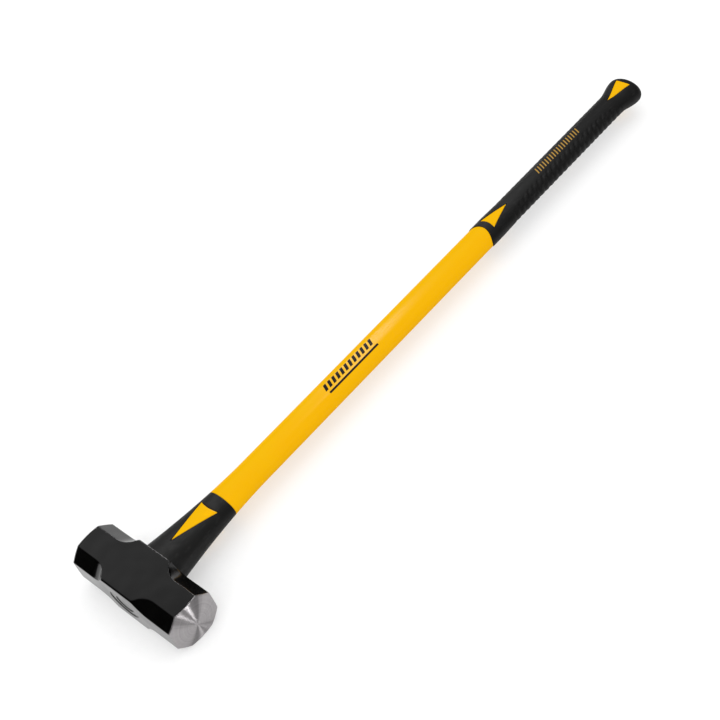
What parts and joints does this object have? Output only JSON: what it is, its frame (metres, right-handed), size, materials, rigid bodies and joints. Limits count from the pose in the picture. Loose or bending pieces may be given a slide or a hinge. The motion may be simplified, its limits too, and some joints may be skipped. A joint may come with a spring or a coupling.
{
  "type": "sledgehammer",
  "caption": "Long-handled sledgehammer with a double-faced octagonal steel head on an oval jacketed glass-fibre handle, for driving stakes and breaking stone.",
  "frame": {"origin": "on the rear cheek of the head, straight under the middle of the eye", "axes": "+X along the handle from the head to the butt, +Y along the head from face to face, +Z out of the front cheek"},
  "size_m": [0.9049, 0.165, 0.0545],
  "materials": {
    "head_paint": "gloss black enamel over forged steel",
    "bare_steel": "turned bare steel striking face",
    "glass_fibre": "pultruded glass fibre in clear resin",
    "yellow_jacket": "satin moulded polypropylene",
    "black_rubber": "satin black thermoplastic rubber",
    "resin": "black poured bonding resin",
    "foam_rubber": "soft closed-cell rubber"
  },
  "bodies": {
    "root": {"head": "head_paint", "core_rod": "glass_fibre", "shaft_jacket": "yellow_jacket", "overstrike_collar": "black_rubber", "grip": "black_rubber", "eye_resin": "resin", "eye_dam": "foam_rubber"}
  },
  "joints": []
}
